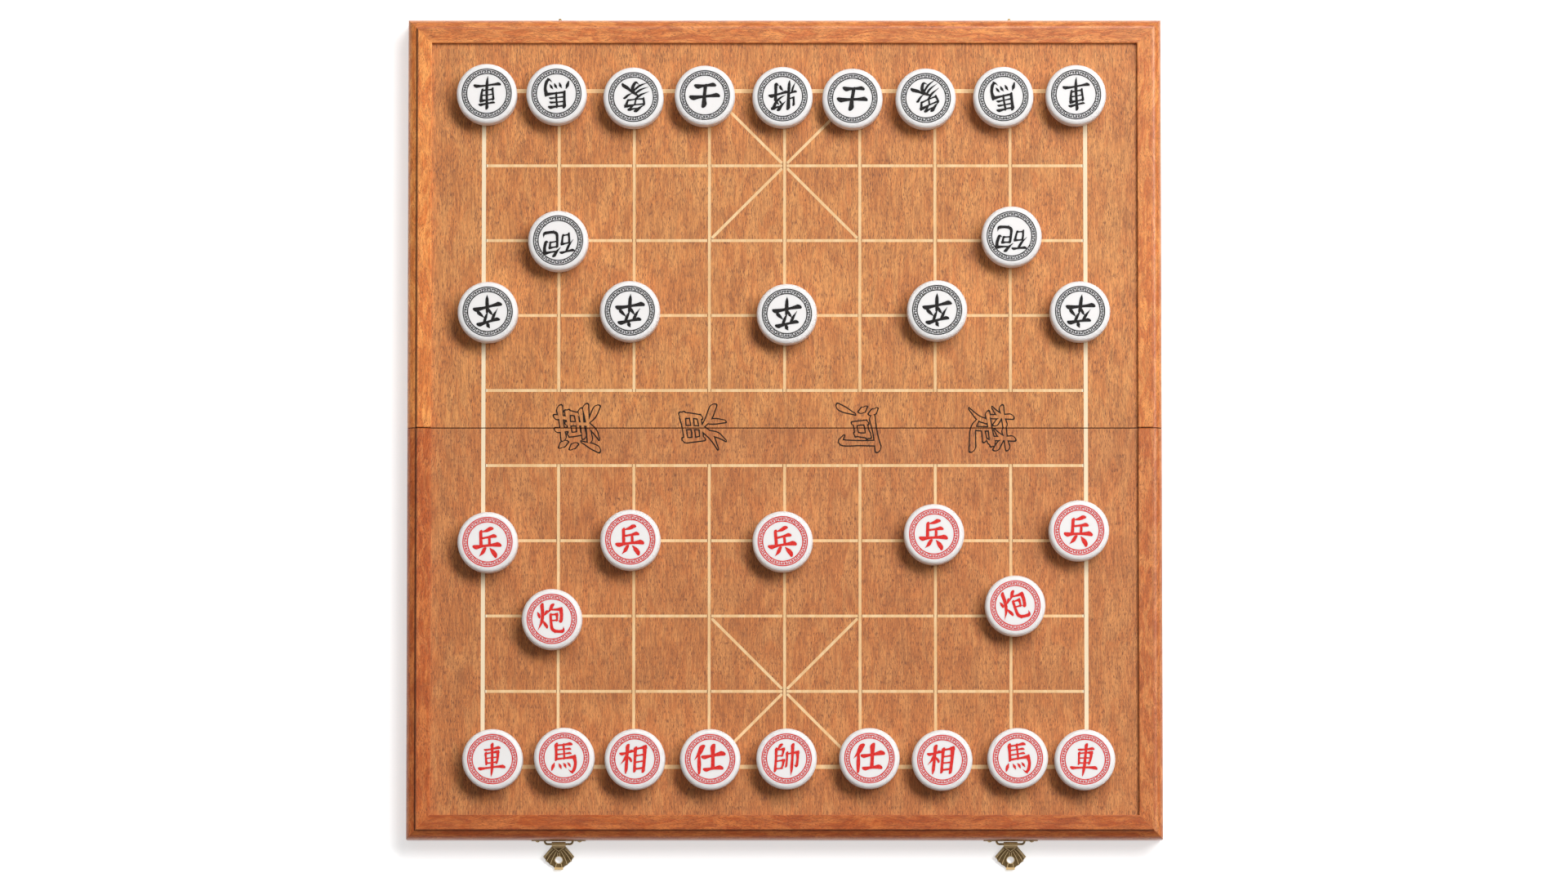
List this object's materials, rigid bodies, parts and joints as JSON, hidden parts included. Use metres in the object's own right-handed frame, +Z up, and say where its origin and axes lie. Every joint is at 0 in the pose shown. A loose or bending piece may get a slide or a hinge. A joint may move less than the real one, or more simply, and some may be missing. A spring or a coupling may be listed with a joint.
{
  "type": "xiangqi chinese chess box",
  "caption": "Folding wooden xiangqi box, opened flat as a board with an inlaid grid: two hinged trays, brass hasps and round white playing pieces standing at their starting points.",
  "frame": {"origin": "middle of the fold, in the plane of the rims on which the open box rests", "axes": "+X along the fold, +Y towards the far (black) side, +Z up out of the playing surface"},
  "size_m": [0.376, 0.4265, 0.0334],
  "materials": {
    "rail_wood": "reddish hardwood, satin varnish",
    "panel_wood": "golden brown hardwood, satin varnish",
    "inlay_wood": "pale strip wood, satin varnish",
    "brass": "antique brass plating, darkened in the recesses",
    "piece_white": "white, soft gloss"
  },
  "bodies": {
    "near_half": {"near_front_rail": "rail_wood", "near_left_rail": "rail_wood", "near_right_rail": "rail_wood", "near_playing_panel": "panel_wood", "near_grid_inlay": "inlay_wood", "near_fold_rail": "rail_wood", "left_hinge_near_leaf": "brass", "right_hinge_near_leaf": "brass", "hinge_pins": "brass", "near_hinge_screws": "brass", "left_hasp_plate": "brass", "right_hasp_plate": "brass", "hasp_staples": "brass", "hasp_nails": "brass"},
    "far_half": {"far_back_rail": "rail_wood", "far_left_rail": "rail_wood", "far_right_rail": "rail_wood", "far_playing_panel": "panel_wood", "far_grid_inlay": "inlay_wood", "far_fold_rail": "rail_wood", "left_hinge_far_leaf": "brass", "right_hinge_far_leaf": "brass", "far_hinge_screws": "brass", "left_catch_plate": "brass", "right_catch_plate": "brass", "catch_nails": "brass"},
    "left_hasp": {"left_hasp_flap": "brass"},
    "right_hasp": {"right_hasp_flap": "brass"},
    "red_left_chariot": {"red_left_chariot": "piece_white"},
    "red_left_horse": {"red_left_horse": "piece_white"},
    "red_left_elephant": {"red_left_elephant": "piece_white"},
    "red_left_advisor": {"red_left_advisor": "piece_white"},
    "red_general": {"red_general": "piece_white"},
    "red_right_advisor": {"red_right_advisor": "piece_white"},
    "red_right_elephant": {"red_right_elephant": "piece_white"},
    "red_right_horse": {"red_right_horse": "piece_white"},
    "red_right_chariot": {"red_right_chariot": "piece_white"},
    "red_left_cannon": {"red_left_cannon": "piece_white"},
    "red_right_cannon": {"red_right_cannon": "piece_white"},
    "red_soldier_1": {"red_soldier_1": "piece_white"},
    "red_soldier_2": {"red_soldier_2": "piece_white"},
    "red_soldier_3": {"red_soldier_3": "piece_white"},
    "red_soldier_4": {"red_soldier_4": "piece_white"},
    "red_soldier_5": {"red_soldier_5": "piece_white"},
    "black_left_chariot": {"black_left_chariot": "piece_white"},
    "black_left_horse": {"black_left_horse": "piece_white"},
    "black_left_elephant": {"black_left_elephant": "piece_white"},
    "black_left_advisor": {"black_left_advisor": "piece_white"},
    "black_general": {"black_general": "piece_white"},
    "black_right_advisor": {"black_right_advisor": "piece_white"},
    "black_right_elephant": {"black_right_elephant": "piece_white"},
    "black_right_horse": {"black_right_horse": "piece_white"},
    "black_right_chariot": {"black_right_chariot": "piece_white"},
    "black_left_cannon": {"black_left_cannon": "piece_white"},
    "black_right_cannon": {"black_right_cannon": "piece_white"},
    "black_soldier_1": {"black_soldier_1": "piece_white"},
    "black_soldier_2": {"black_soldier_2": "piece_white"},
    "black_soldier_3": {"black_soldier_3": "piece_white"},
    "black_soldier_4": {"black_soldier_4": "piece_white"},
    "black_soldier_5": {"black_soldier_5": "piece_white"}
  },
  "joints": [
    {"name": "fold", "type": "hinge", "parent": "near_half", "child": "far_half", "pos_m": [0, 0, -0.00015], "axis": [-1, 0, 0], "range_deg": [0, 180]},
    {"name": "left_hasp_swing", "type": "hinge", "parent": "near_half", "child": "left_hasp", "pos_m": [-0.1125, -0.2066, 0.003], "axis": [1, 0, 0], "range_deg": [-102, 75]},
    {"name": "right_hasp_swing", "type": "hinge", "parent": "near_half", "child": "right_hasp", "pos_m": [0.1125, -0.2066, 0.003], "axis": [1, 0, 0], "range_deg": [-102, 75]},
    {"name": "red_left_chariot_lift", "type": "slide", "parent": "near_half", "child": "red_left_chariot", "axis": [0, 0, 1], "range_m": [0, 0.04]},
    {"name": "red_left_horse_lift", "type": "slide", "parent": "near_half", "child": "red_left_horse", "axis": [0, 0, 1], "range_m": [0, 0.04]},
    {"name": "red_left_elephant_lift", "type": "slide", "parent": "near_half", "child": "red_left_elephant", "axis": [0, 0, 1], "range_m": [0, 0.04]},
    {"name": "red_left_advisor_lift", "type": "slide", "parent": "near_half", "child": "red_left_advisor", "axis": [0, 0, 1], "range_m": [0, 0.04]},
    {"name": "red_general_lift", "type": "slide", "parent": "near_half", "child": "red_general", "axis": [0, 0, 1], "range_m": [0, 0.04]},
    {"name": "red_right_advisor_lift", "type": "slide", "parent": "near_half", "child": "red_right_advisor", "axis": [0, 0, 1], "range_m": [0, 0.04]},
    {"name": "red_right_elephant_lift", "type": "slide", "parent": "near_half", "child": "red_right_elephant", "axis": [0, 0, 1], "range_m": [0, 0.04]},
    {"name": "red_right_horse_lift", "type": "slide", "parent": "near_half", "child": "red_right_horse", "axis": [0, 0, 1], "range_m": [0, 0.04]},
    {"name": "red_right_chariot_lift", "type": "slide", "parent": "near_half", "child": "red_right_chariot", "axis": [0, 0, 1], "range_m": [0, 0.04]},
    {"name": "red_left_cannon_lift", "type": "slide", "parent": "near_half", "child": "red_left_cannon", "axis": [0, 0, 1], "range_m": [0, 0.04]},
    {"name": "red_right_cannon_lift", "type": "slide", "parent": "near_half", "child": "red_right_cannon", "axis": [0, 0, 1], "range_m": [0, 0.04]},
    {"name": "red_soldier_1_lift", "type": "slide", "parent": "near_half", "child": "red_soldier_1", "axis": [0, 0, 1], "range_m": [0, 0.04]},
    {"name": "red_soldier_2_lift", "type": "slide", "parent": "near_half", "child": "red_soldier_2", "axis": [0, 0, 1], "range_m": [0, 0.04]},
    {"name": "red_soldier_3_lift", "type": "slide", "parent": "near_half", "child": "red_soldier_3", "axis": [0, 0, 1], "range_m": [0, 0.04]},
    {"name": "red_soldier_4_lift", "type": "slide", "parent": "near_half", "child": "red_soldier_4", "axis": [0, 0, 1], "range_m": [0, 0.04]},
    {"name": "red_soldier_5_lift", "type": "slide", "parent": "near_half", "child": "red_soldier_5", "axis": [0, 0, 1], "range_m": [0, 0.04]},
    {"name": "black_left_chariot_lift", "type": "slide", "parent": "far_half", "child": "black_left_chariot", "axis": [0, 0, 1], "range_m": [0, 0.04]},
    {"name": "black_left_horse_lift", "type": "slide", "parent": "far_half", "child": "black_left_horse", "axis": [0, 0, 1], "range_m": [0, 0.04]},
    {"name": "black_left_elephant_lift", "type": "slide", "parent": "far_half", "child": "black_left_elephant", "axis": [0, 0, 1], "range_m": [0, 0.04]},
    {"name": "black_left_advisor_lift", "type": "slide", "parent": "far_half", "child": "black_left_advisor", "axis": [0, 0, 1], "range_m": [0, 0.04]},
    {"name": "black_general_lift", "type": "slide", "parent": "far_half", "child": "black_general", "axis": [0, 0, 1], "range_m": [0, 0.04]},
    {"name": "black_right_advisor_lift", "type": "slide", "parent": "far_half", "child": "black_right_advisor", "axis": [0, 0, 1], "range_m": [0, 0.04]},
    {"name": "black_right_elephant_lift", "type": "slide", "parent": "far_half", "child": "black_right_elephant", "axis": [0, 0, 1], "range_m": [0, 0.04]},
    {"name": "black_right_horse_lift", "type": "slide", "parent": "far_half", "child": "black_right_horse", "axis": [0, 0, 1], "range_m": [0, 0.04]},
    {"name": "black_right_chariot_lift", "type": "slide", "parent": "far_half", "child": "black_right_chariot", "axis": [0, 0, 1], "range_m": [0, 0.04]},
    {"name": "black_left_cannon_lift", "type": "slide", "parent": "far_half", "child": "black_left_cannon", "axis": [0, 0, 1], "range_m": [0, 0.04]},
    {"name": "black_right_cannon_lift", "type": "slide", "parent": "far_half", "child": "black_right_cannon", "axis": [0, 0, 1], "range_m": [0, 0.04]},
    {"name": "black_soldier_1_lift", "type": "slide", "parent": "far_half", "child": "black_soldier_1", "axis": [0, 0, 1], "range_m": [0, 0.04]},
    {"name": "black_soldier_2_lift", "type": "slide", "parent": "far_half", "child": "black_soldier_2", "axis": [0, 0, 1], "range_m": [0, 0.04]},
    {"name": "black_soldier_3_lift", "type": "slide", "parent": "far_half", "child": "black_soldier_3", "axis": [0, 0, 1], "range_m": [0, 0.04]},
    {"name": "black_soldier_4_lift", "type": "slide", "parent": "far_half", "child": "black_soldier_4", "axis": [0, 0, 1], "range_m": [0, 0.04]},
    {"name": "black_soldier_5_lift", "type": "slide", "parent": "far_half", "child": "black_soldier_5", "axis": [0, 0, 1], "range_m": [0, 0.04]}
  ]
}
